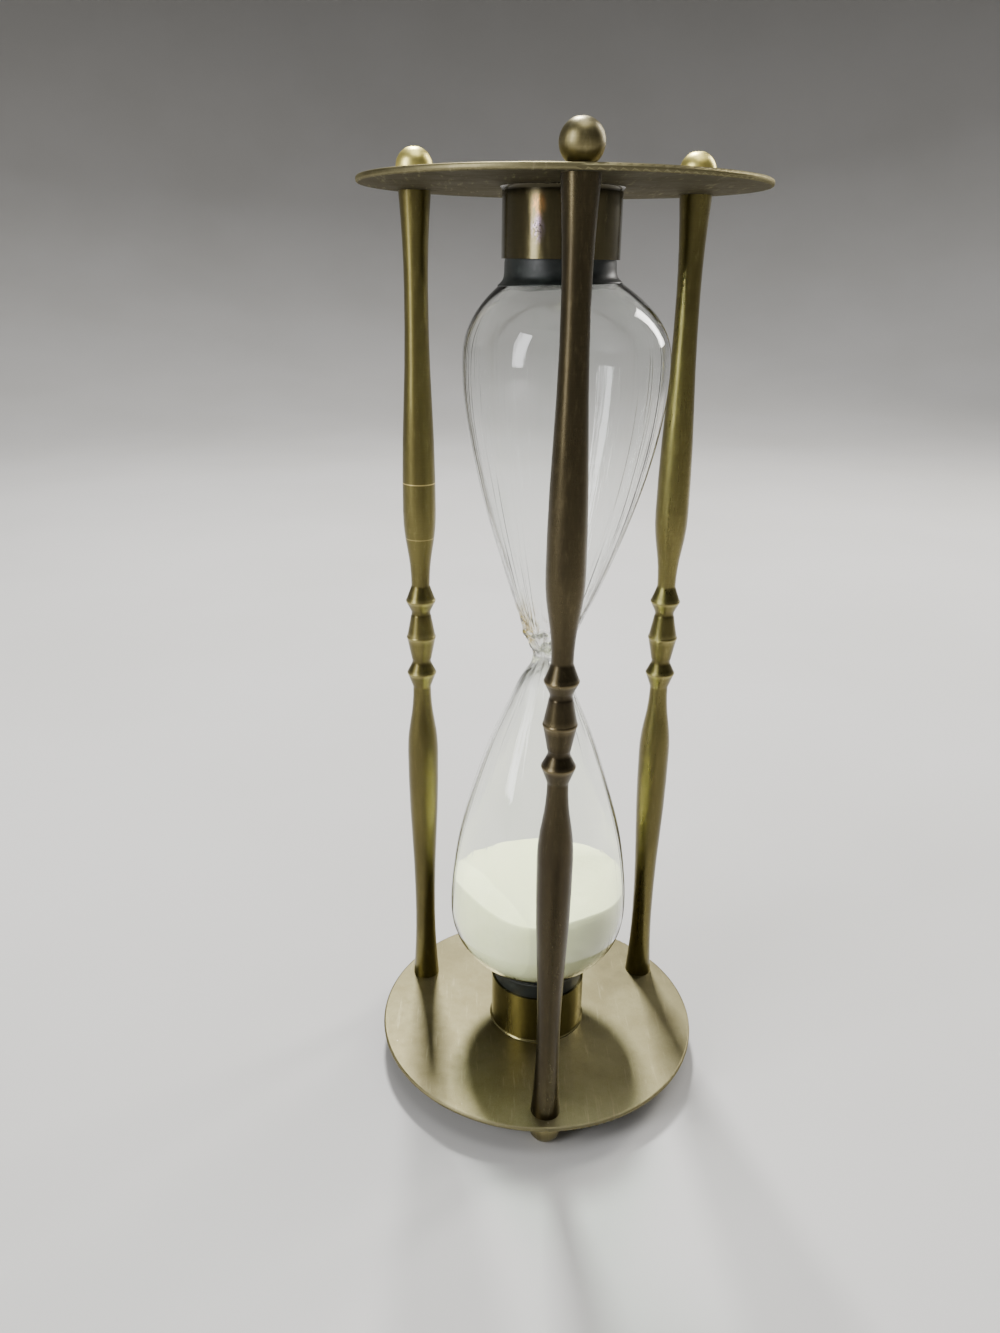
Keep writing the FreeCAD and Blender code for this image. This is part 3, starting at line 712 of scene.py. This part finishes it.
def make_cup(name, side, material):
    """A rubber cup on the glass stub at one end, its lip pressed on the shoulder. Side 1 is the upper."""
    columns = []
    for angle in angles(ROUND_CUP):
        lip = lip_height(angle, side) + 0.05 * MM * ripple(angle, 0, 6 * MM, 1, 5.5)
        across = Vector((math.cos(angle), math.sin(angle), 0))
        column = [raised(across * radius, side * height) for height, radius in cup_outside(lip)]
        edge = lip - 0.1 * MM
        inside = [edge + (SHOULDER_FOOT - edge) * i / SHOULDER_RINGS for i in range(SHOULDER_RINGS + 1)]
        inside += steps(STUB_START, STUB_END - END_ROUND, 3 * MM)
        for height in inside:
            column.append(on_glass(angle, side * height, outer_radius(angle, side * height) + GRIP))
        for height, inset in ((STUB_END - 0.8 * MM, 0.7), (STUB_END, 2.6), (STUB_END + 0.05 * MM, 5)):
            column.append(raised(across * (STUB_RADIUS - inset * MM + GRIP), side * height))
        columns.append(column)
    rings = [[column[j] for column in columns] for j in range(len(columns[0]))]
    piece(name, [ring_mesh(rings, flip=side > 0)], material, (name + "_cup",))


# ---------------------------------------------------------------- sand

SAND_GAP = 0.07 * MM      # between the sand and the glass
SAND_FOOT = 119.8 * MM    # depth of its lowest ring below the middle
SIDE_RINGS = 52

# Rings of the sand's face: how far out each lies, from the glass (1) to the axis (0).
FACE_RINGS = (0.992, 0.975, 0.95, 0.92, 0.88, *[i / 36 for i in range(31, 0, -1)])

# Height of the sand along the glass, from the middle: degrees round from +X and millimetres.
SAND_RIM = [
    (-175, -69.7), (-147, -68.4), (-122, -70.8), (-98, -72.4), (-66, -71.0), (-42, -71.6), (-24, -72.2),
    (7, -70.1), (40, -72.2), (80, -74), (118, -74.5), (150, -72.3), (185, -69.7),
]
CROWN = -67.3 * MM       # height of the sand's face away from the glass
sand_rim = Curve(SAND_RIM, unit=1.0)


def rim_height(angle):
    """Height of the sand's edge on the glass in this direction."""
    degrees = (math.degrees(angle) + 175) % 360 - 175
    return sand_rim(degrees) * MM


def slide(x, y):
    """How far the sand has slid below its crown at a point."""
    dx, dy = x - PEAK.x, y - PEAK.y
    soft = 0.1 * MM
    falls = [0.0] + [steep * (-along.y * dx + along.x * dy) for along, steep in RIDGES]
    deepest = max(falls)
    return deepest + soft * math.log(sum(math.exp((fall - deepest) / soft) for fall in falls))


def sand_height(x, y, edge, rim, share):
    """Height of the sand's face at x, y, this share of the way from the axis to its edge on the glass.

    edge is where that way meets the glass, in plan, and rim is the height there.
    """
    pull = share ** 3.2 * (rim - CROWN + slide(edge.x, edge.y))
    fine = 0.09 * noise.noise(Vector((x, y, 0)) / (1.6 * MM))
    broad = 0.14 * noise.noise(Vector((x, y, 9)) / (5 * MM))
    return CROWN - slide(x, y) + pull + (fine + broad) * MM * (1 - share ** 8)


def make_sand(material):
    """The sand at rest in the lower bulb: its side follows the glass, and its face has slid to one side."""
    columns = []
    for angle in angles(ROUND_SAND):
        rim = rim_height(angle)
        edge = on_glass(angle, rim, inner_radius(angle, rim) - SAND_GAP).to_2d()
        side = [-SAND_FOOT + (rim + SAND_FOOT) * i / SIDE_RINGS for i in range(SIDE_RINGS + 1)]
        column = [on_glass(angle, height, inner_radius(angle, height) - SAND_GAP) for height in side]
        axis = Vector((glass_lean(rim), 0))
        for share in FACE_RINGS:
            flat = axis.lerp(edge, share)
            height = sand_height(flat.x, flat.y, edge, rim, share)
            column.append(Vector((flat.x, flat.y, MIDDLE + height)))
        columns.append(column)
    rings = [[column[j] for column in columns] for j in range(len(columns[0]))]
    piece("sand_fill", [ring_mesh(rings)], material, ("sand",))


GRAINS = 420
GRAIN_CORNERS = ((1, 0, 0), (0, 1, 0), (-1, 0, 0), (0, -1, 0), (0, 0, 1), (0, 0, -1))
GRAIN_FACES = [(i, (i + 1) % 4, 4) for i in range(4)] + [((i + 1) % 4, i, 5) for i in range(4)]


def make_clinging_grains(material):
    """Eight-sided grains left on the inside of the upper bulb, most of them low in its cone."""
    chance = random.Random(7)
    skins = []
    for _ in range(GRAINS):
        height = (6 + 46 * chance.random() ** 1.7) * MM
        angle = TURN * chance.random()
        size = (0.05 + 0.09 * chance.random() ** 2) * MM
        centre = on_glass(angle, height, inner_radius(angle, height) - size * 0.9)
        turn = Matrix.Rotation(TURN * chance.random(), 3, "Z")
        turn = turn @ Matrix.Rotation(TURN * chance.random(), 3, "X")
        corners = [Vector(corner) * size for corner in GRAIN_CORNERS]
        points = [centre + turn @ corner * (0.8 + 0.4 * chance.random()) for corner in corners]
        skins.append((points, GRAIN_FACES))
    piece("clinging_grains", skins, material)


# ---------------------------------------------------------------- stage, light and camera

STAGE_RADIUS = 2.5
STAGE_BEND = 1.2      # radius of the bend between the floor and the wall
STAGE_HEIGHT = 3.2
ROUND_STAGE = 96      # points round the stage


def make_stage():
    """A round sweep: flat floor, a wide bend and a wall, so that every direction looks alike."""
    profile = [(r, 0.0) for r in (0.2, 0.5, 0.9)]
    flat = STAGE_RADIUS - STAGE_BEND
    for a in steps(0, TURN / 4, TURN / 96):
        profile.append((flat + STAGE_BEND * math.sin(a), STAGE_BEND * (1 - math.cos(a))))
    profile.append((STAGE_RADIUS, STAGE_HEIGHT))
    rings = []
    for r, z in profile:
        rings.append([Vector((r * math.cos(a), r * math.sin(a), z)) for a in angles(ROUND_STAGE)])
    points, faces = ring_mesh(rings)
    top_pole = len(points) - 1
    faces = [face for face in faces if top_pole not in face]    # the sweep is open above
    mesh = bpy.data.meshes.new("studio_sweep")
    mesh.from_pydata([tuple(p) for p in points], [], faces)
    mesh.polygons.foreach_set("use_smooth", [True] * len(faces))
    mesh.materials.append(studio_floor())
    floor = bpy.data.objects.new("studio_sweep", mesh)
    bpy.context.scene.collection.objects.link(floor)


# The soft lights: name, place, width, height, power in watts and tint. A small box behind throws the
# shadows, a tall one stands on each side and a large faint one hangs above.
SOFTBOXES = [
    ("box_behind", (-0.09, 0.735, 1.28), 0.17, 0.17, 29, (1, 1, 1)),
    ("box_right", (0.9, 0.72, 0.72), 0.25, 0.76, 10.4, (1.0, 0.97, 0.92)),
    ("box_left", (-1.05, -0.68, 0.62), 0.34, 1.0, 13.3, (0.97, 0.98, 1.0)),
    ("box_above", (0.15, -0.22, 1.66), 0.9, 0.9, 8, (1, 1, 1)),
]


def softbox(name, place, width, height, watts, tint):
    """A rectangular soft light, aimed at the middle, that the camera doesn't see."""
    data = bpy.data.lights.new(name, "AREA")
    data.shape = "RECTANGLE"
    data.size, data.size_y = width, height
    data.energy = watts
    data.color = tint
    lamp = bpy.data.objects.new(name, data)
    lamp.location = place
    lamp.rotation_euler = (Vector((0, 0, MIDDLE)) - Vector(place)).to_track_quat("-Z", "Y").to_euler()
    lamp.visible_camera = False
    bpy.context.scene.collection.objects.link(lamp)


def make_light():
    """The soft lights, and a dim, slightly cool light from all round."""
    for box in SOFTBOXES:
        softbox(*box)
    world = bpy.data.worlds.new("studio")
    world.use_nodes = True
    back = world.node_tree.nodes["Background"]
    back.inputs["Color"].default_value = (0.95, 0.97, 1.0, 1)
    back.inputs["Strength"].default_value = 0.22
    bpy.context.scene.world = world


CAMERA_PLACE = (-0.02325, -0.27385, MIDDLE + 0.10606)
CAMERA_YAW = math.radians(2.017)      # to the right of +Y
CAMERA_DOWN = math.radians(21.423)
CAMERA_ROLL = math.radians(0.825)
CAMERA_LENS = 27.71                   # millimetres, for a sensor 36 mm along its longer side


def make_camera():
    """The viewing angle: close, a little left of the front post and looking down."""
    yaw, down, roll = CAMERA_YAW, CAMERA_DOWN, CAMERA_ROLL
    forward = Vector((math.sin(yaw) * math.cos(down), math.cos(yaw) * math.cos(down), -math.sin(down)))
    right = Vector((math.cos(yaw), -math.sin(yaw), 0))
    up = right.cross(forward)
    right, up = (
        math.cos(roll) * right + math.sin(roll) * up,
        -math.sin(roll) * right + math.cos(roll) * up,
    )
    data = bpy.data.cameras.new("camera")
    data.lens = CAMERA_LENS
    data.sensor_width = 36
    data.clip_start, data.clip_end = 0.01, 20
    camera = bpy.data.objects.new("camera", data)
    turn = Matrix((right, up, -forward)).transposed()
    camera.matrix_world = Matrix.Translation(CAMERA_PLACE) @ turn.to_4x4()
    bpy.context.scene.collection.objects.link(camera)
    bpy.context.scene.camera = camera


# ---------------------------------------------------------------- the hourglass

finish_brass()
make_glass(glass("clear_glass"))
black = rubber("black_rubber")
make_cup("upper_rubber", 1, black)
make_cup("lower_rubber", -1, black)
white = white_sand("white_sand")
make_sand(white)
make_clinging_grains(white)
make_stage()
make_light()
make_camera()
